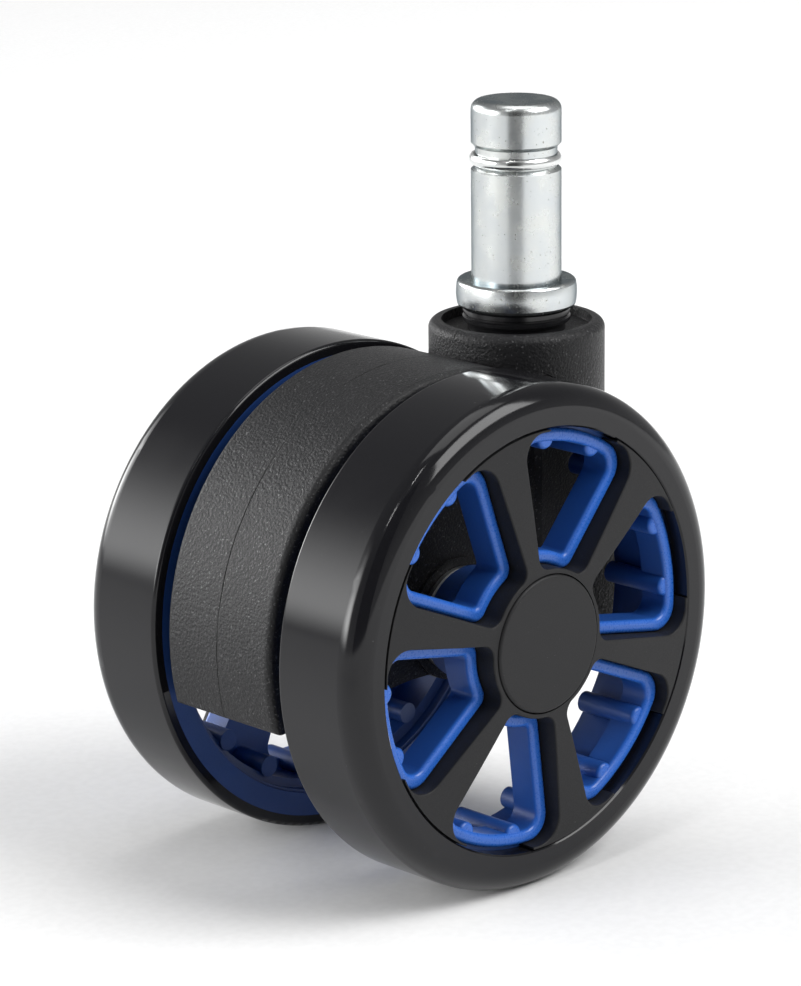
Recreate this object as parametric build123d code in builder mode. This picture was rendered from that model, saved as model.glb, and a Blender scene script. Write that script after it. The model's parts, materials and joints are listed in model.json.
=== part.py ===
"""Twin-wheel office chair caster with a grip-ring stem.

All sizes are millimetres.  The origin is on the stem axis at the top face of the
collar, +Z runs up the stem, the axle runs along Y and the wheels trail towards -X.
"""
import os
from math import cos, pi, radians, sin, sqrt

from build123d import *

# ---------------------------------------------------------------- driving sizes
# swivel geometry
trail = 20.0
axle_drop = 37.0

# stem
stem_r = 5.5
stem_length = 22.0
stem_tip_round = 1.2
stem_groove_r = 5.0
stem_groove_low = 13.7
stem_groove_high = 16.6
collar_r = 7.4
collar_thick = 3.3
collar_crown = 0.2
collar_edge = 0.5
shank_r = 4.5
shank_end = -27.0
shank_groove_r = 3.9
shank_groove_low = -24.0
shank_groove_high = -23.0

# grip ring in the stem groove
grip_outer_r = 5.62
grip_edge_r = 5.35
grip_inner_r = 5.12
grip_low = 14.2
grip_high = 15.4
grip_shift = 0.07
grip_gap = 1.2

# swivel bush and its retaining pieces
bush_flange_r = 6.6
bush_flange_top = -3.38
bush_flange_low = -5.4
bush_r = 6.0
bush_bore_r = 4.55
bush_end = -22.0
swivel_washer_r = 5.8
swivel_washer_top = -22.05
swivel_washer_low = -22.65
stem_clip_r = 5.2
stem_clip_thick = 0.8

# hood
hood_r = 30.1
hood_half_width = 8.9
hood_wall = 2.3
hood_tail_angle = 15.5
hood_edge = 0.9
hood_floor = -6.2
web_half = 1.0
boss_r = 7.5
boss_half = 9.5
socket_r = 10.8
socket_top = -5.0
socket_edge = 1.1
socket_end = -32.0
socket_wall_r = 8.6
mouth_r = 9.2
mouth_floor = -6.2
bore_floor = -29.0
wheel_clear_r = 31.3
wheel_clear_y = 9.4

# axle and its hardware
axle_r = 4.0
axle_half = 20.8
axle_groove_r = 3.5
axle_groove_in = 19.25
axle_groove_out = 20.15
axle_chamfer = 0.4
inner_washer_r = 6.4
inner_washer_in = 9.55
inner_washer_out = 10.05
outer_washer_r = 6.2
outer_washer_in = 18.6
outer_washer_out = 19.1
axle_clip_r = 6.1
axle_clip_in = 19.3
axle_clip_out = 20.1
running_gap = 0.05

# wheel: distances along the axle are from the caster's middle plane
wheel_r = 30.5
wheel_in = 10.75
wheel_out = 23.45
tyre_shoulder = 2.9
tyre_inner_edge = 0.5
tyre_seat_r = 27.2
tyre_foot_r = 29.1
tyre_foot = 12.3
tyre_face_r = 25.6
tyre_face_back = 21.0
rim_mouth_r = 25.9
rim_wall_r = 24.9
rim_front = 20.95
rim_mouth_edge = 0.35
spokes_back = 17.8
hub_r = 6.8
hub_in = 10.65
hub_bore_r = 5.2
hub_seat_r = 7.0
hub_pocket = 18.5
rib_r = 1.3
rib_centre_r = 23.9
window_rib_angles = (10, -10)
spoke_rib_angle = 30
rib_in = 12.4
rib_out = 21.5
rib_edge = 0.5
rib_end_outer_r = 24.5
hub_bush_flange_r = 6.4
hub_bush_flange_in = 10.15

# windows, shared by the web, its lips and the cover
window_count = 6
window_pitch = 360 / window_count
window_half_angle = 23.7
window_outer_r = 25.2
window_inner_r = 9.0
window_outer_corner = 3.0
window_inner_corner = 1.7
lip_gap = 0.05
lip_width = 1.6
lip_front = 21.8
lip_round = 0.6
lip_wall_r = window_outer_r - lip_gap - lip_width

# cover and centre cap
cover_r = 25.45
cover_back = 21.0
cover_edge_out = 23.45
cover_mid_out = 24.35
cover_crown_r = 17.0
cover_crown_out = 24.02
cover_slot_half_angle = 13.5
cover_edge = 0.2
cover_pocket_r = 7.2
cover_pocket = 21.9
cap_seat_r = 8.45
cap_seat = 23.0
cap_r = 8.3
cap_out = 24.6
cap_edge = 0.35
peg_r = 1.1
peg_centre_r = 15.5
peg_end = 18.7
peg_hole_end = 18.5

# rest position of each wheel about the axle
right_wheel_turn = 13.25
left_wheel_turn = 27.2

side_plane = Plane(origin=(-trail, 0, -axle_drop), x_dir=(1, 0, 0), z_dir=(0, -1, 0))
right_wheel_plane = side_plane
left_wheel_plane = Plane(origin=(-trail, 0, -axle_drop), x_dir=(1, 0, 0), z_dir=(0, 1, 0))


# ---------------------------------------------------------------- shared helpers
def ring(outer_r, inner_r, low, high, gap=0.0):
    """A flat ring about Z, split on its +X side when it has a gap."""
    with BuildPart() as piece:
        with BuildSketch(Plane.XY.offset(low)):
            Circle(outer_r)
            Circle(inner_r, mode=Mode.SUBTRACT)
            if gap:
                with Locations((outer_r, 0)):
                    Rectangle(2 * outer_r, gap, mode=Mode.SUBTRACT)
        extrude(amount=high - low)
    return piece.part


def window_outline(inset, outer_corner, inner_corner):
    """One window about +X, its walls moved in by an inset."""
    along = Vector(cos(radians(window_half_angle)), sin(radians(window_half_angle)))
    inward = Vector(along.Y, -along.X)
    outer_r = window_outer_r - inset
    inner_r = window_inner_r + inset
    outer = along * sqrt(outer_r**2 - inset**2) + inward * inset
    inner = along * sqrt(inner_r**2 - inset**2) + inward * inset
    with BuildSketch() as outline:
        with BuildLine():
            Line((inner.X, inner.Y), (outer.X, outer.Y))
            ThreePointArc((outer.X, outer.Y), (outer_r, 0), (outer.X, -outer.Y))
            Line((outer.X, -outer.Y), (inner.X, -inner.Y))
            ThreePointArc((inner.X, -inner.Y), (inner_r, 0), (inner.X, inner.Y))
        make_face()
        corners = outline.vertices().sort_by(Axis.X)
        fillet(corners[2:], radius=outer_corner)
        corners = outline.vertices().sort_by(Axis.X)
        fillet(corners[:2], radius=inner_corner)
    return outline.sketch


def save(piece, name):
    """Write one finished piece under its own name."""
    piece.label = name
    export_step(piece, f"parts/{name}.step")


def save_wheel_piece(piece, name):
    """Place one piece of a wheel at both ends of the axle."""
    right = Location(right_wheel_plane) * Location((0, 0, 0), (0, 0, right_wheel_turn))
    left = Location(left_wheel_plane) * Location((0, 0, 0), (0, 0, left_wheel_turn))
    save(piece.moved(right), f"{name}_right")
    save(piece.moved(left), f"{name}_left")


def save_axle_piece(piece, name):
    """Place one piece that stays with the axle at both of its ends."""
    save(piece.moved(Location(right_wheel_plane)), f"{name}_right")
    save(piece.moved(Location(left_wheel_plane)), f"{name}_left")


window_opening = window_outline(0, window_outer_corner, window_inner_corner)
lip_outside = window_outline(lip_gap, window_outer_corner, window_inner_corner)
lip_inside = window_outline(lip_gap + lip_width, window_outer_corner - 1.2, 0.7)

with BuildSketch() as slot_outline:
    with BuildLine():
        slot_tip = Vector(cos(radians(cover_slot_half_angle)), sin(radians(cover_slot_half_angle)))
        near = slot_tip * (window_outer_r - 0.6)
        far = slot_tip * (cover_r + 1)
        Polyline((near.X, near.Y), (far.X, far.Y), (far.X, -far.Y), (near.X, -near.Y), close=True)
    make_face()
edge_slot = slot_outline.sketch


# ---------------------------------------------------------------- stem and its hardware
with BuildPart() as stem:
    with BuildSketch(Plane.XZ):
        with BuildLine():
            Polyline(
                (stem_r - stem_tip_round, stem_length),
                (0, stem_length),
                (0, shank_end),
                (shank_r - 0.6, shank_end),
                (shank_r, shank_end + 0.6),
                (shank_r, shank_groove_low),
                (shank_groove_r, shank_groove_low),
                (shank_groove_r, shank_groove_high),
                (shank_r, shank_groove_high),
                (shank_r, -collar_thick),
                (collar_r - collar_crown, -collar_thick),
            )
            ThreePointArc(
                (collar_r - collar_crown, -collar_thick),
                (collar_r, -collar_thick / 2),
                (collar_r - collar_crown, 0),
            )
            Polyline(
                (collar_r - collar_crown, 0),
                (stem_r, 0),
                (stem_r, stem_groove_low - 0.2),
                (stem_groove_r, stem_groove_low + 0.3),
                (stem_groove_r, stem_groove_high - 0.3),
                (stem_r, stem_groove_high + 0.2),
                (stem_r, stem_length - stem_tip_round),
            )
            RadiusArc(
                (stem_r, stem_length - stem_tip_round),
                (stem_r - stem_tip_round, stem_length),
                -stem_tip_round,
            )
        make_face()
    revolve(axis=Axis.Z)
    collar_edges = stem.edges().filter_by(lambda e: e.length > 2 * pi * (stem_r + 1))
    fillet(collar_edges, radius=collar_edge)

with BuildPart() as grip_ring:
    # barrel-shaped wire ring with a gap
    with BuildSketch(Plane.XZ):
        with BuildLine():
            ThreePointArc(
                (grip_edge_r, grip_low),
                (grip_outer_r, (grip_low + grip_high) / 2),
                (grip_edge_r, grip_high),
            )
            Polyline(
                (grip_edge_r, grip_high),
                (grip_inner_r, grip_high),
                (grip_inner_r, grip_low),
                (grip_edge_r, grip_low),
            )
        make_face()
    revolve(axis=Axis.Z)
    with BuildSketch(Plane.XY.offset(grip_low)):
        with Locations((grip_outer_r, 0)):
            Rectangle(grip_outer_r, grip_gap)
    extrude(amount=grip_high - grip_low, mode=Mode.SUBTRACT)
grip_place = Location((-grip_shift, grip_shift, 0), (0, 0, 30))

stem_clip = ring(
    stem_clip_r,
    shank_groove_r + running_gap,
    shank_groove_low + 0.1,
    shank_groove_low + 0.1 + stem_clip_thick,
    gap=2.0,
)

with BuildPart() as swivel_bush:
    with BuildSketch(Plane.XZ):
        with BuildLine():
            Polyline(
                (bush_bore_r, bush_flange_top),
                (bush_bore_r, bush_end),
                (bush_r, bush_end),
                (bush_r, bush_flange_low),
                (bush_flange_r - 0.4, bush_flange_low),
                (bush_flange_r, bush_flange_low + 0.4),
                (bush_flange_r, -4.6),
                (bush_flange_r - 0.25, -4.45),
                (bush_flange_r - 0.25, -4.25),
                (bush_flange_r, -4.1),
                (bush_flange_r, bush_flange_top - 0.2),
                (bush_flange_r - 0.2, bush_flange_top),
                close=True,
            )
        make_face()
    revolve(axis=Axis.Z)

swivel_washer = ring(swivel_washer_r, bush_bore_r, swivel_washer_low, swivel_washer_top)


# ---------------------------------------------------------------- hood
tail_x = hood_r * cos(radians(hood_tail_angle))
tail_z = -hood_r * sin(radians(hood_tail_angle))
shell_r = hood_r - hood_wall

with BuildPart() as hood:
    # arched block between the wheels
    with BuildSketch(side_plane):
        with BuildLine():
            ThreePointArc((-tail_x, tail_z), (0, hood_r), (tail_x, tail_z))
            Polyline((tail_x, tail_z), (boss_r, hood_floor), (-boss_r, hood_floor), (-tail_x, tail_z))
        make_face()
    extrude(amount=hood_half_width, both=True)
    arch_edges = hood.edges().filter_by(GeomType.CIRCLE).filter_by(lambda e: e.radius > hood_r - 1)
    tail_edges = hood.edges().filter_by(Axis.Y).group_by(Axis.X)
    fillet(arch_edges + tail_edges[0] + tail_edges[-1], radius=hood_edge)

    # two pockets up from below, either side of a middle web
    for side in (-1, 1):
        pocket_near = side * web_half
        pocket_far = side * (hood_half_width - hood_wall)
        with BuildSketch(side_plane.offset(pocket_near)):
            with BuildLine():
                ThreePointArc((-shell_r, 0), (0, shell_r), (shell_r, 0))
                Polyline((shell_r, 0), (shell_r - 1, -12), (1 - shell_r, -12), (-shell_r, 0))
            make_face()
        extrude(amount=pocket_far - pocket_near, mode=Mode.SUBTRACT)

    # cross tube for the axle and upright socket for the stem
    with BuildSketch(side_plane):
        Circle(boss_r)
    extrude(amount=boss_half, both=True)
    with BuildSketch(Plane.XY.offset(socket_end)):
        Circle(socket_wall_r)
    extrude(amount=socket_top - socket_end)
    with BuildSketch(Plane.XY.offset(socket_end)):
        Circle(socket_r)
    extrude(amount=socket_top - socket_end)

    # the wheels turn past the socket's flanks
    for side in (-1, 1):
        with BuildSketch(side_plane.offset(side * wheel_clear_y)):
            Circle(wheel_clear_r)
        extrude(amount=side * 6, mode=Mode.SUBTRACT)

    # socket mouth, stem bore and axle bore
    rim_edges = hood.edges().filter_by(GeomType.CIRCLE).group_by(Axis.Z)[-1]
    fillet(rim_edges, radius=socket_edge)
    with BuildSketch(Plane.XY.offset(mouth_floor)):
        Circle(mouth_r)
    extrude(amount=socket_top - mouth_floor, mode=Mode.SUBTRACT)
    with BuildSketch(Plane.XY.offset(bore_floor)):
        Circle(bush_r)
    extrude(amount=mouth_floor - bore_floor, mode=Mode.SUBTRACT)
    with BuildSketch(side_plane):
        Circle(axle_r)
    extrude(amount=boss_half, both=True, mode=Mode.SUBTRACT)


# ---------------------------------------------------------------- axle and its hardware
with BuildPart() as axle:
    with BuildSketch(side_plane):
        Circle(axle_r)
    extrude(amount=axle_half, both=True)
    chamfer(axle.edges().filter_by(GeomType.CIRCLE), length=axle_chamfer)
    for side in (-1, 1):
        with BuildSketch(side_plane.offset(side * axle_groove_in)):
            Circle(axle_r + 1)
            Circle(axle_groove_r, mode=Mode.SUBTRACT)
        extrude(amount=side * (axle_groove_out - axle_groove_in), mode=Mode.SUBTRACT)

inner_washer = ring(inner_washer_r, axle_r + running_gap, inner_washer_in, inner_washer_out)
outer_washer = ring(outer_washer_r, axle_r + running_gap, outer_washer_in, outer_washer_out)
axle_clip = ring(axle_clip_r, axle_groove_r + running_gap, axle_clip_in, axle_clip_out, gap=3.0)


# ---------------------------------------------------------------- wheel pieces, axle along Z
with BuildPart() as tyre:
    with BuildSketch(Plane.XZ):
        with BuildLine():
            Polyline(
                (wheel_r, wheel_in + tyre_inner_edge),
                (wheel_r, wheel_out - tyre_shoulder),
            )
            RadiusArc(
                (wheel_r, wheel_out - tyre_shoulder),
                (wheel_r - tyre_shoulder, wheel_out),
                -tyre_shoulder,
            )
            Polyline(
                (wheel_r - tyre_shoulder, wheel_out),
                (tyre_face_r + 0.2, wheel_out),
                (tyre_face_r, wheel_out - 0.2),
                (tyre_face_r, tyre_face_back),
                (tyre_seat_r, tyre_face_back),
                (tyre_seat_r, tyre_foot),
                (tyre_foot_r, tyre_foot),
                (tyre_foot_r, wheel_in),
                (wheel_r - tyre_inner_edge, wheel_in),
            )
            RadiusArc(
                (wheel_r - tyre_inner_edge, wheel_in),
                (wheel_r, wheel_in + tyre_inner_edge),
                -tyre_inner_edge,
            )
        make_face()
    revolve(axis=Axis.Z)

with BuildPart() as rim:
    # drum that carries the tyre, with a broad ring at its inner mouth
    with BuildSketch(Plane.XZ):
        with BuildLine():
            Polyline(
                (rim_mouth_r + rim_mouth_edge, wheel_in),
                (tyre_foot_r, wheel_in),
                (tyre_foot_r, tyre_foot),
                (tyre_seat_r, tyre_foot),
                (tyre_seat_r, rim_front),
                (rim_wall_r, rim_front),
                (rim_wall_r, tyre_foot + 0.5),
                (rim_mouth_r, tyre_foot),
                (rim_mouth_r, wheel_in + rim_mouth_edge),
            )
            RadiusArc(
                (rim_mouth_r, wheel_in + rim_mouth_edge),
                (rim_mouth_r + rim_mouth_edge, wheel_in),
                rim_mouth_edge,
            )
        make_face()
    revolve(axis=Axis.Z)

    # half-round ribs along the drum wall, two in each window and one behind each spoke
    with BuildSketch(Plane.XY.offset(rib_in)):
        for rib_angle in (*window_rib_angles, spoke_rib_angle):
            with PolarLocations(rib_centre_r, window_count, start_angle=rib_angle):
                Circle(rib_r)
    extrude(amount=spokes_back - rib_in)

with BuildPart() as hub:
    # tube for the hub bush, its outer end set into the web
    with BuildSketch(Plane.XZ):
        with BuildLine():
            Polyline(
                (hub_bore_r, hub_in),
                (hub_r - 0.3, hub_in),
                (hub_r, hub_in + 0.3),
                (hub_r, spokes_back),
                (hub_seat_r, spokes_back),
                (hub_seat_r, hub_pocket),
                (hub_bore_r, hub_pocket),
                (hub_bore_r, hub_in),
            )
        make_face()
    revolve(axis=Axis.Z)

with BuildPart() as spokes:
    # flat web inside the drum, with six windows
    with BuildSketch(Plane.XY.offset(spokes_back)):
        Circle(rim_wall_r)
        Circle(hub_seat_r, mode=Mode.SUBTRACT)
        with PolarLocations(0, window_count):
            add(lip_inside, mode=Mode.SUBTRACT)
    extrude(amount=rim_front - spokes_back)

    # holes for the cover's pegs
    with BuildSketch(Plane.XY.offset(peg_hole_end)):
        with PolarLocations(peg_centre_r, window_count, start_angle=window_pitch / 2):
            Circle(peg_r + running_gap)
    extrude(amount=rim_front - peg_hole_end, mode=Mode.SUBTRACT)

with BuildPart() as rib_end:
    # a window rib's last stretch: along the web's window wall, then on into the lip
    for start, end, outer_r in (
        (spokes_back, rim_front, lip_wall_r),
        (rim_front, rib_out, rib_end_outer_r),
    ):
        with BuildSketch(Plane.XY.offset(start)):
            with Locations((rib_centre_r, 0)):
                Circle(rib_r)
            Circle(outer_r, mode=Mode.INTERSECT)
        extrude(amount=end - start)
    fillet(rib_end.edges().group_by(Axis.Z)[-1].sort_by(Axis.X)[0], radius=rib_edge)

with BuildPart() as window_lips:
    # a rounded lip around each window, standing on the web, with the ends of its two ribs
    with BuildSketch(Plane.XY.offset(rim_front)):
        with PolarLocations(0, window_count):
            add(lip_outside)
        with PolarLocations(0, window_count):
            add(lip_inside, mode=Mode.SUBTRACT)
    extrude(amount=lip_front - rim_front)
    fillet(window_lips.faces().group_by(Axis.Z)[-1].edges(), radius=lip_round)
    for rib_angle in window_rib_angles:
        with PolarLocations(0, window_count, start_angle=rib_angle):
            add(rib_end.part)

with BuildPart() as cover:
    # crowned disc with a seat for the cap
    with BuildSketch(Plane.XZ):
        with BuildLine():
            Polyline(
                (cover_r, cover_edge_out),
                (cover_r, cover_back),
                (cover_pocket_r, cover_back),
                (cover_pocket_r, cover_pocket),
                (0, cover_pocket),
                (0, cap_seat),
                (cap_seat_r, cap_seat),
                (cap_seat_r, cover_mid_out),
            )
            ThreePointArc(
                (cap_seat_r, cover_mid_out),
                (cover_crown_r, cover_crown_out),
                (cover_r, cover_edge_out),
            )
        make_face()
    revolve(axis=Axis.Z)

    # windows, each open at the disc's edge between two spoke tips
    with BuildSketch(Plane.XY.offset(cover_back)):
        with PolarLocations(0, window_count):
            add(window_opening)
            add(edge_slot)
    extrude(amount=4, mode=Mode.SUBTRACT)
    face_edges = cover.edges().filter_by(lambda e: e.center().Z > cover_edge_out - 0.1)
    window_edges = face_edges.filter_by(
        lambda e: cap_seat_r + 0.1 < Vector(e.center().X, e.center().Y).length < cover_r - 0.5
    )
    fillet(window_edges, radius=cover_edge)

    # pegs into the rim's spokes
    with BuildSketch(Plane.XY.offset(peg_end)):
        with PolarLocations(peg_centre_r, window_count, start_angle=window_pitch / 2):
            Circle(peg_r)
    extrude(amount=cover_back - peg_end)

with BuildPart() as centre_cap:
    with BuildSketch(Plane.XY.offset(cap_seat)):
        Circle(cap_r)
    extrude(amount=cap_out - cap_seat)
    fillet(centre_cap.edges().sort_by(Axis.Z)[-1], radius=cap_edge)

with BuildPart() as hub_bush:
    with BuildSketch(Plane.XY.offset(hub_in)):
        Circle(hub_bore_r)
        Circle(axle_r + running_gap, mode=Mode.SUBTRACT)
    extrude(amount=hub_pocket - hub_in - 0.1)
    with BuildSketch(Plane.XY.offset(hub_bush_flange_in)):
        Circle(hub_bush_flange_r)
        Circle(axle_r + running_gap, mode=Mode.SUBTRACT)
    extrude(amount=hub_in - hub_bush_flange_in)


# ---------------------------------------------------------------- write every piece
os.makedirs("parts", exist_ok=True)
save(stem.part, "stem")
save(grip_ring.part.moved(grip_place), "grip_ring")
save(stem_clip, "stem_clip")
save(swivel_bush.part, "swivel_bush")
save(swivel_washer, "swivel_washer")
save(hood.part, "hood")
save(axle.part, "axle")
save_axle_piece(inner_washer, "inner_washer")
save_axle_piece(outer_washer, "outer_washer")
save_axle_piece(axle_clip, "axle_clip")
save_wheel_piece(tyre.part, "tyre")
save_wheel_piece(rim.part, "rim")
save_wheel_piece(hub.part, "hub")
save_wheel_piece(spokes.part, "spokes")
save_wheel_piece(window_lips.part, "window_lips")
save_wheel_piece(cover.part, "face_cover")
save_wheel_piece(centre_cap.part, "centre_cap")
save_wheel_piece(hub_bush.part, "hub_bush")
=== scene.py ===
"""Looks of the twin-wheel chair caster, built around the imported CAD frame.

All lengths are metres in the frame of the CAD model: +Z up the stem, the axle along Y.
"""
import json
import math

import bpy
from mathutils import Matrix, Vector


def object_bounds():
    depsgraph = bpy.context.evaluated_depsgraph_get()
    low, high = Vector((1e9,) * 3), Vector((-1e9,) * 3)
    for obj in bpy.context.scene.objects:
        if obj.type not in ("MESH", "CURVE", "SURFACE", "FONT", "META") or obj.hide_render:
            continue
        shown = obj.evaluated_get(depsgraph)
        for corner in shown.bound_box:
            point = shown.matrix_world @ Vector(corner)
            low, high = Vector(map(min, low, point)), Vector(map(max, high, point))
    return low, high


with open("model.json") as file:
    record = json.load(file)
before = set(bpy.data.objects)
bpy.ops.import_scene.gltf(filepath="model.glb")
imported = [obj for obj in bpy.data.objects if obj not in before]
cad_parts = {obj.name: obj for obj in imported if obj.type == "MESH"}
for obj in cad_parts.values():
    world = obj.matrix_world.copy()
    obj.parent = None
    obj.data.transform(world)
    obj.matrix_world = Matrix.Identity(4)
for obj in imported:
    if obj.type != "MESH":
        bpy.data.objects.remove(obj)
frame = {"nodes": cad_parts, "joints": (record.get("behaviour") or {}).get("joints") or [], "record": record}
cad_low, cad_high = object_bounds()
record = frame["record"]
nodes = frame["nodes"]
scene = bpy.context.scene


# ---------------------------------------------------------------- camera
AXLE_CENTRE = Vector(
    next(j["pos_m"] for j in frame["joints"] if j["name"] == "wheel_spin_right")
)
CAMERA_AZIMUTH = math.radians(-44.29)
CAMERA_ELEVATION = math.radians(15.30)
CAMERA_ROLL = math.radians(-0.56)
CAMERA_DISTANCE = 0.48976
CAMERA_RIGHT = -0.0002
CAMERA_UP = 0.01321
CAMERA_LENS = 147.76
CAMERA_SENSOR = 36
CAMERA_CLIP = (0.02, 50)


def make_camera():
    """A long lens at the height of the object's shoulder, seen from its front left corner."""
    back = Vector(
        (
            math.sin(CAMERA_AZIMUTH) * math.cos(CAMERA_ELEVATION),
            -math.cos(CAMERA_AZIMUTH) * math.cos(CAMERA_ELEVATION),
            math.sin(CAMERA_ELEVATION),
        )
    )
    level = Vector((math.cos(CAMERA_AZIMUTH), math.sin(CAMERA_AZIMUTH), 0))
    upward = back.cross(level)
    right = level * math.cos(CAMERA_ROLL) + upward * math.sin(CAMERA_ROLL)
    up = upward * math.cos(CAMERA_ROLL) - level * math.sin(CAMERA_ROLL)
    data = bpy.data.cameras.new("camera")
    data.lens = CAMERA_LENS
    data.sensor_width = CAMERA_SENSOR
    data.clip_start, data.clip_end = CAMERA_CLIP
    camera = bpy.data.objects.new("camera", data)
    scene.collection.objects.link(camera)
    place = AXLE_CENTRE + back * CAMERA_DISTANCE + right * CAMERA_RIGHT + up * CAMERA_UP
    turn = Matrix((right, up, back)).transposed().to_4x4()
    camera.matrix_world = Matrix.Translation(place) @ turn
    scene.camera = camera


# ---------------------------------------------------------------- shader nodes
class Nodes:
    """Short names for adding and joining shader nodes in one tree."""

    def __init__(self, tree):
        self.tree = tree
        tree.nodes.clear()

    def add(self, kind, **settings):
        node = self.tree.nodes.new(kind)
        for name, value in settings.items():
            setattr(node, name, value)
        return node

    def feed(self, socket, value):
        """Joins an output, or sets a plain value."""
        if isinstance(value, bpy.types.NodeSocket):
            self.tree.links.new(value, socket)
        else:
            socket.default_value = value

    def math(self, operation, *values):
        node = self.add("ShaderNodeMath", operation=operation)
        for socket, value in zip(node.inputs, values):
            self.feed(socket, value)
        return node.outputs[0]

    def dot(self, a, b):
        node = self.add("ShaderNodeVectorMath", operation="DOT_PRODUCT")
        self.feed(node.inputs[0], a)
        self.feed(node.inputs[1], b)
        return node.outputs["Value"]

    def offset(self, place, axis):
        """Distance from the plane through the origin that faces along one axis."""
        split = self.add("ShaderNodeSeparateXYZ")
        self.feed(split.inputs[0], place)
        return split.outputs[axis]

    def span(self, value, low, high, out_low=0.0, out_high=1.0):
        """Maps a value from one span to another, eased at both ends."""
        node = self.add("ShaderNodeMapRange", interpolation_type="SMOOTHSTEP")
        names = ("From Min", "From Max", "To Min", "To Max")
        for name, number in zip(names, (low, high, out_low, out_high)):
            node.inputs[name].default_value = number
        self.feed(node.inputs["Value"], value)
        return node.outputs[0]

    def noise(self, place, scale, detail=2.0, roughness=0.5):
        """Soft noise from 0 to 1, with scale in waves per metre."""
        node = self.add("ShaderNodeTexNoise")
        self.feed(node.inputs["Vector"], place)
        node.inputs["Scale"].default_value = scale
        node.inputs["Detail"].default_value = detail
        node.inputs["Roughness"].default_value = roughness
        return node.outputs["Fac"]

    def specks(self, place, scale, low, high):
        """Small rounded spots where a coarse noise passes a limit."""
        return self.span(self.noise(place, scale, 1, 0.4), low, high)

    def cells(self, place, scale):
        """Rounded pebbles, with scale in pebbles per metre."""
        node = self.add("ShaderNodeTexVoronoi", feature="SMOOTH_F1")
        self.feed(node.inputs["Vector"], place)
        node.inputs["Scale"].default_value = scale
        return node.outputs["Distance"]

    def mix(self, factor, a, b):
        node = self.add("ShaderNodeMix", data_type="RGBA")
        self.feed(node.inputs["Factor"], factor)
        self.feed(node.inputs["A"], a)
        self.feed(node.inputs["B"], b)
        return node.outputs["Result"]

    def bump(self, height, distance, strength):
        node = self.add("ShaderNodeBump")
        node.inputs["Strength"].default_value = strength
        node.inputs["Distance"].default_value = distance
        self.feed(node.inputs["Height"], height)
        return node.outputs[0]

    def principled(self, **constants):
        """A Principled shader joined to the output, with its constant sockets set."""
        shader = self.add("ShaderNodeBsdfPrincipled")
        output = self.add("ShaderNodeOutputMaterial")
        self.feed(output.inputs["Surface"], shader.outputs[0])
        for name, value in constants.items():
            shader.inputs[name.replace("_", " ")].default_value = value
        return shader

    def place(self):
        """Coordinates that ride with a piece: metres from the origin of the CAD frame."""
        return self.add("ShaderNodeTexCoord").outputs["Object"]


def new_material(name):
    """A material and the nodes of its emptied tree."""
    material = bpy.data.materials.new(name)
    material.use_nodes = True
    return material, Nodes(material.node_tree)


# ---------------------------------------------------------------- studio
FLOOR_DROP = 0.00002
FLOOR_HALF = 5.0

# the lit wall, in degrees: its middle, where it grows brighter towards its sides and where
# these fade, and where it starts and ends in height
WALL_AZIMUTH = 130
WALL_EDGE = (12, 26)
WALL_FADE = (32, 46)
WALL_FOOT = (-2, 9)
WALL_HEAD = (10, 42)
WALL_STRENGTH = 5.5
WALL_MIDDLE_SHARE, WALL_EDGE_SHARE = 0.8, 2.3
WALL_AHEAD = 0.05

# the sky's strength at the horizon and above the height at which it stops to change
SKY_LOW, SKY_HIGH = 0.50, 0.26
SKY_TOP = 0.6

# name: (azimuth, elevation, distance, width, height, power in watts)
LAMPS = {
    "key_softbox": (-62, 45, 1.6, 1.1, 0.9, 21.0),
    "top_softbox": (20, 80, 1.5, 0.9, 0.9, 5.0),
    "near_strip": (-149, 70, 1.5, 0.02, 0.22, 0.6),
    "far_strip": (-162, 53, 1.5, 0.02, 0.22, 0.6),
}

# a black card between the camera and the caster: where it stands, its width and its edges
CARD_AZIMUTH, CARD_DISTANCE = -134, 0.20
CARD_WIDTH, CARD_LOW, CARD_HIGH = 0.15, 0.030, 0.34


def direction(azimuth, elevation):
    """Unit vector towards a compass angle from +X and an elevation, both in degrees."""
    a, e = math.radians(azimuth), math.radians(elevation)
    return Vector((math.cos(a) * math.cos(e), math.sin(a) * math.cos(e), math.sin(e)))


def make_world():
    """A dim studio with a bright wall low down behind the left side."""
    world = bpy.data.worlds.new("studio")
    world.use_nodes = True
    n = Nodes(world.node_tree)
    view = n.add("ShaderNodeTexCoord").outputs["Generated"]
    height = n.dot(view, Vector((0, 0, 1)))
    sky = n.span(height, 0.0, SKY_TOP, SKY_LOW, SKY_HIGH)
    centre = direction(WALL_AZIMUTH, 0)
    ahead = n.dot(view, centre)
    side = n.dot(view, centre.cross(Vector((0, 0, 1))))
    offset = n.math("ABSOLUTE", n.math("DIVIDE", side, ahead))
    glow = n.math("GREATER_THAN", ahead, WALL_AHEAD)
    for value, turn, ends, low, high in (
        (offset, math.tan, WALL_EDGE, WALL_MIDDLE_SHARE, WALL_EDGE_SHARE),
        (offset, math.tan, WALL_FADE, 1.0, 0.0),
        (height, math.sin, WALL_FOOT, 0.0, 1.0),
        (height, math.sin, WALL_HEAD, 1.0, 0.0),
    ):
        start, end = (turn(math.radians(angle)) for angle in ends)
        glow = n.math("MULTIPLY", glow, n.span(value, start, end, low, high))
    total = n.math("MULTIPLY_ADD", glow, WALL_STRENGTH, sky)
    background = n.add("ShaderNodeBackground")
    background.inputs["Color"].default_value = (1.0, 1.0, 1.0, 1.0)
    n.feed(background.inputs["Strength"], total)
    output = n.add("ShaderNodeOutputWorld")
    n.feed(output.inputs["Surface"], background.outputs[0])
    scene.world = world


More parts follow.
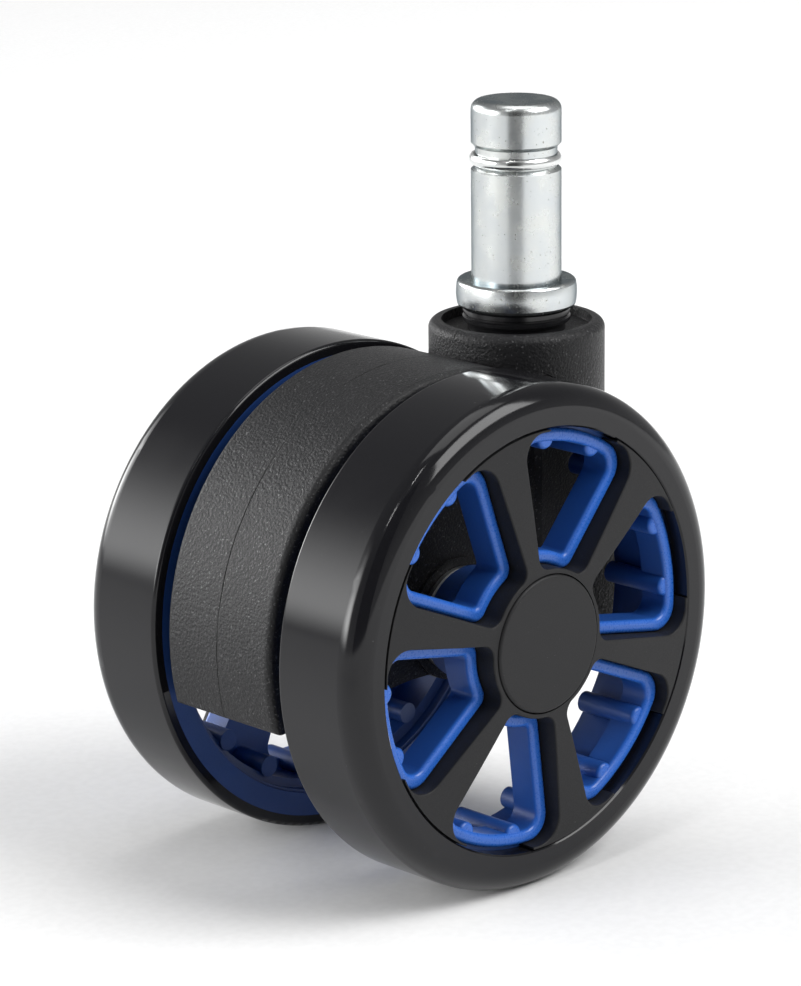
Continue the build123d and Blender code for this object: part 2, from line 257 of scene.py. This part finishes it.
def make_lamps():
    """Rectangular softboxes that face the caster."""
    for name, (azimuth, elevation, distance, width, height, power) in LAMPS.items():
        data = bpy.data.lights.new(name, "AREA")
        data.shape = "RECTANGLE"
        data.size, data.size_y = width, height
        data.energy = power
        lamp = bpy.data.objects.new(name, data)
        scene.collection.objects.link(lamp)
        away = direction(azimuth, elevation)
        lamp.location = AXLE_CENTRE + away * distance
        lamp.rotation_mode = "QUATERNION"
        lamp.rotation_quaternion = away.to_track_quat("Z", "Y")


def make_sheet(name, corners, finish):
    """One flat four-cornered stage piece, which isn't part of the caster."""
    mesh = bpy.data.meshes.new(name)
    mesh.from_pydata(corners, [], [(0, 1, 2, 3)])
    sheet = bpy.data.objects.new(name, mesh)
    scene.collection.objects.link(sheet)
    material, n = new_material(finish.__name__)
    finish(n)
    mesh.materials.append(material)
    return sheet


def floor_paper(n):
    """Matte white paper."""
    shader = n.principled(Roughness=0.9, Specular_IOR_Level=0.15)
    tint = n.span(n.noise(n.place(), 900, 3), 0.3, 0.7)
    white = n.mix(tint, (0.86, 0.86, 0.86, 1), (0.89, 0.89, 0.89, 1))
    n.feed(shader.inputs["Base Color"], white)


def black_card(n):
    """Black felt on board."""
    shader = n.principled(Roughness=0.9)
    weave = n.noise(n.place(), 300, 3)
    black = n.mix(weave, (0.010, 0.010, 0.010, 1), (0.020, 0.020, 0.020, 1))
    n.feed(shader.inputs["Base Color"], black)


def make_floor():
    """A plain pale sheet under the wheels."""
    z = cad_low.z - FLOOR_DROP
    signs = ((-1, -1), (1, -1), (1, 1), (-1, 1))
    make_sheet("floor", [(x * FLOOR_HALF, y * FLOOR_HALF, z) for x, y in signs], floor_paper)


def make_card():
    """A black card that the camera looks through; it keeps the recesses dark."""
    foot = AXLE_CENTRE + direction(CARD_AZIMUTH, 0) * CARD_DISTANCE
    across = direction(CARD_AZIMUTH + 90, 0) * CARD_WIDTH / 2
    edges = ((-1, CARD_LOW), (1, CARD_LOW), (1, CARD_HIGH), (-1, CARD_HIGH))
    corners = [(foot.x + k * across.x, foot.y + k * across.y, cad_low.z + z) for k, z in edges]
    make_sheet("card", corners, black_card).visible_camera = False


# ---------------------------------------------------------------- materials
# distances from the middle plane, along the axle: where painted shade darkens the rims
RIM_HOOD_SIDE = 0.0090
RIM_WEB_FRONT = 0.0209
RIM_LIP_FRONT = 0.0216
# the hood's parting line: half width where it is full and where it ends, and how far it strays
SEAM_FULL, SEAM_END = 0.00005, 0.00011
SEAM_STRAY = 0.00008


def mottled(n, scale, colours, rough, **constants):
    """A finish that drifts between two colours and between two roughnesses."""
    shader = n.principled(**constants)
    place = n.place()
    clouds = n.noise(place, scale, 3)
    n.feed(shader.inputs["Base Color"], n.mix(clouds, *colours))
    n.feed(shader.inputs["Roughness"], n.span(clouds, 0.3, 0.7, *rough))
    return shader, place, clouds


def zinc_steel(n):
    """Bright zinc plate: satin, faintly blue, with fine turning lines, clouds and pits."""
    shader = n.principled(Metallic=1.0, Specular_Tint=(0.24, 0.27, 0.29, 1))
    place = n.place()
    clouds = n.noise(place, 260, 4, 0.6)
    pits = n.span(n.noise(place, 2600, 2, 0.5), 0.68, 0.74)
    lines = n.add("ShaderNodeMapping", vector_type="TEXTURE")
    lines.inputs["Scale"].default_value = (8.0, 8.0, 0.25)
    n.feed(lines.inputs["Vector"], place)
    turning = n.noise(lines.outputs[0], 900, 3, 0.6)
    plate = n.mix(n.span(clouds, 0.35, 0.7), (0.60, 0.63, 0.64, 1), (0.69, 0.71, 0.69, 1))
    n.feed(shader.inputs["Base Color"], n.mix(pits, plate, (0.42, 0.42, 0.38, 1)))
    rough = n.span(clouds, 0.3, 0.75, 0.23, 0.30)
    n.feed(shader.inputs["Roughness"], n.math("MULTIPLY_ADD", pits, 0.2, rough))
    height = n.math("SUBTRACT", n.math("MULTIPLY", turning, 0.35), n.math("MULTIPLY", pits, 0.8))
    n.feed(shader.inputs["Normal"], n.bump(height, 0.00001, 0.6))


def ring_steel(n):
    """Spring steel wire, zinc plated and brighter than the pin."""
    colours = (0.66, 0.68, 0.68, 1), (0.84, 0.85, 0.84, 1)
    shader, place, _ = mottled(n, 500, colours, (0.16, 0.28), Metallic=1.0)
    n.feed(shader.inputs["Normal"], n.bump(n.noise(place, 2400, 2), 0.00001, 0.4))


def bush_nylon(n):
    """Glossy black nylon with faint flow marks."""
    colours = (0.006, 0.006, 0.007, 1), (0.012, 0.012, 0.013, 1)
    shader, _, flow = mottled(n, 350, colours, (0.16, 0.26))
    n.feed(shader.inputs["Normal"], n.bump(flow, 0.00002, 0.3))


def hood_nylon(n):
    """Black nylon from a coarsely eroded mould: pebbles, painted glints as bright flecks that are also a
    little glossier, and a parting line.
    """
    shader = n.principled(Specular_IOR_Level=0.27)
    place = n.place()
    pebbles = n.cells(place, 3000)
    grain = n.noise(place, 5200, 3, 0.65)
    clouds = n.noise(place, 120, 3)
    # painted glints: bright spots in the colour, which are also a little glossier
    painted_glints = n.specks(place, 3300, 0.66, 0.74)
    stray = n.math("MULTIPLY_ADD", n.noise(place, 260, 2), 2 * SEAM_STRAY, -SEAM_STRAY)
    from_seam = n.math("ABSOLUTE", n.math("ADD", n.offset(place, "Y"), stray))
    line = n.span(from_seam, SEAM_FULL, SEAM_END, 1.0, 0.0)
    seam = n.math("MULTIPLY", line, n.span(clouds, 0.40, 0.56, 0.2, 1.0))
    dark = n.mix(clouds, (0.007, 0.007, 0.008, 1), (0.013, 0.013, 0.014, 1))
    dark_with_glints = n.mix(painted_glints, dark, (0.075, 0.076, 0.078, 1))
    n.feed(shader.inputs["Base Color"], n.mix(seam, dark_with_glints, (0.002, 0.002, 0.002, 1)))
    rough = n.span(grain, 0.3, 0.7, 0.54, 0.34)
    rough = n.math("MULTIPLY_ADD", painted_glints, -0.12, rough)
    n.feed(shader.inputs["Roughness"], n.math("MULTIPLY_ADD", seam, 0.45, rough))
    height = n.math("MULTIPLY_ADD", grain, 0.9, pebbles)
    height = n.math("MULTIPLY_ADD", seam, -3.0, height)
    n.feed(shader.inputs["Normal"], n.bump(height, 0.00010, 0.8))


def tyre_pu(n):
    """Glossy black polyurethane: nearly a mirror, with a slight haze and a little dust."""
    shader = n.principled(Specular_IOR_Level=0.34)
    place = n.place()
    haze = n.noise(place, 90, 4, 0.6)
    dust = n.specks(place, 5200, 0.80, 0.83)
    colour = n.mix(dust, (0.007, 0.007, 0.0085, 1), (0.10, 0.10, 0.10, 1))
    n.feed(shader.inputs["Base Color"], colour)
    rough = n.span(haze, 0.3, 0.7, 0.09, 0.15)
    n.feed(shader.inputs["Roughness"], n.math("MULTIPLY_ADD", dust, 0.3, rough))
    n.feed(shader.inputs["Normal"], n.bump(n.noise(place, 60, 2), 0.0001, 0.12))


def rim_nylon(n):
    """Bright blue nylon with fine mould grain; painted shade darkens it towards the hood and on the walls
    behind the lips, where it also grows rougher.
    """
    shader = n.principled()
    place = n.place()
    clouds = n.noise(place, 180, 3)
    grain = n.noise(place, 3800, 2, 0.6)
    depth = n.math("ABSOLUTE", n.offset(place, "Y"))
    # painted shade: the share of the blue that stays, lower on the walls behind the lips and towards the
    # hood
    front = n.span(depth, RIM_WEB_FRONT, RIM_LIP_FRONT, 0.60, 1.0)
    back = n.span(depth, RIM_HOOD_SIDE, RIM_WEB_FRONT, 0.46, 1.0)
    unshaded = n.math("MULTIPLY", front, back)
    blue = n.mix(clouds, (0.020, 0.115, 0.50, 1), (0.026, 0.140, 0.57, 1))
    # painted shade: the blue fades towards near black where that share falls
    n.feed(shader.inputs["Base Color"], n.mix(unshaded, (0.0015, 0.004, 0.02, 1), blue))
    rough = n.span(grain, 0.3, 0.7, 0.52, 0.62)
    n.feed(shader.inputs["Roughness"], n.math("MULTIPLY_ADD", unshaded, -0.27, rough))
    n.feed(shader.inputs["Normal"], n.bump(grain, 0.00001, 0.35))


def cover_nylon(n):
    """Matte black nylon with a fine even mould grain and scattered pale specks."""
    shader = n.principled(Specular_IOR_Level=0.34)
    place = n.place()
    grain = n.noise(place, 6000, 3, 0.6)
    specks = n.specks(place, 4600, 0.79, 0.82)
    clouds = n.noise(place, 90, 3)
    dark = n.mix(clouds, (0.009, 0.009, 0.010, 1), (0.012, 0.012, 0.013, 1))
    n.feed(shader.inputs["Base Color"], n.mix(specks, dark, (0.09, 0.09, 0.09, 1)))
    n.feed(shader.inputs["Roughness"], n.span(grain, 0.3, 0.7, 0.50, 0.64))
    n.feed(shader.inputs["Normal"], n.bump(grain, 0.000025, 0.5))


def cap_nylon(n):
    """The cap's nylon: as the cover, a touch smoother."""
    shader = n.principled(Specular_IOR_Level=0.34)
    place = n.place()
    grain = n.noise(place, 6500, 3, 0.6)
    specks = n.specks(place, 4400, 0.79, 0.82)
    colour = n.mix(specks, (0.010, 0.010, 0.011, 1), (0.10, 0.10, 0.10, 1))
    n.feed(shader.inputs["Base Color"], colour)
    n.feed(shader.inputs["Roughness"], n.span(grain, 0.3, 0.7, 0.46, 0.58))
    n.feed(shader.inputs["Normal"], n.bump(grain, 0.00002, 0.5))


def axle_steel(n):
    """Ground steel rod."""
    colours = (0.45, 0.45, 0.46, 1), (0.60, 0.60, 0.61, 1)
    mottled(n, 1500, colours, (0.22, 0.34), Metallic=1.0)


def washer_steel(n):
    """Stamped steel."""
    colours = (0.50, 0.50, 0.50, 1), (0.64, 0.64, 0.63, 1)
    mottled(n, 700, colours, (0.28, 0.42), Metallic=1.0)


def hub_acetal(n):
    """Milky acetal."""
    mottled(n, 400, ((0.62, 0.61, 0.57, 1), (0.70, 0.69, 0.65, 1)), (0.30, 0.42))


FINISHES = (
    zinc_steel,
    ring_steel,
    bush_nylon,
    hood_nylon,
    tyre_pu,
    rim_nylon,
    cover_nylon,
    cap_nylon,
    axle_steel,
    washer_steel,
    hub_acetal,
)


def make_materials():
    """One material per slot of the record, given to every CAD node that takes that slot."""
    materials = {}
    for finish in FINISHES:
        materials[finish.__name__], n = new_material(finish.__name__)
        finish(n)
    for part in record["subparts"]:
        nodes[part["node"]].data.materials[0] = materials[part["material_slot"]]


# ---------------------------------------------------------------- build
scene.view_settings.view_transform = "Standard"
make_camera()
make_world()
make_lamps()
make_materials()
make_floor()
make_card()
